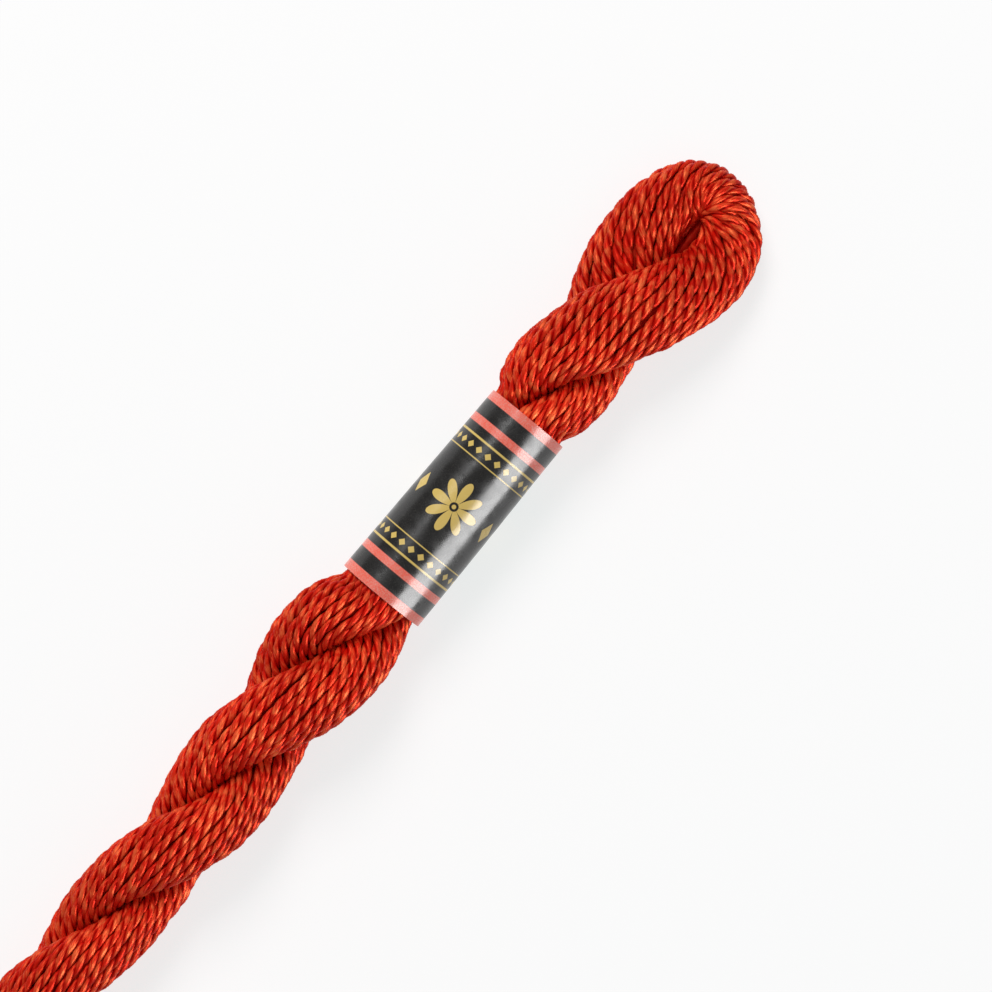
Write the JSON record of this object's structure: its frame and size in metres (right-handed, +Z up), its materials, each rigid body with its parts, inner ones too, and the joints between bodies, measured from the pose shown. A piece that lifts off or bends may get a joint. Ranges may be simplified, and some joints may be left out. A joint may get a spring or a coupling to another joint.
{
  "type": "skein of pearl cotton",
  "caption": "Hank of glossy twisted cotton yarn folded back on itself as a right-hand rope, with a closed loop at each end and a printed paper band near one end, lying flat.",
  "frame": {"origin": "under the middle of the skein, on the surface that it rests on", "axes": "+X along the skein towards the end with the paper band, +Z up from the surface"},
  "size_m": [0.209, 0.0172, 0.0113],
  "materials": {
    "yarn": "silky, mercerised",
    "band_paper": "glossy, printed"
  },
  "bodies": {
    "root": {"skein": "yarn", "paper_band": "band_paper"}
  },
  "joints": []
}
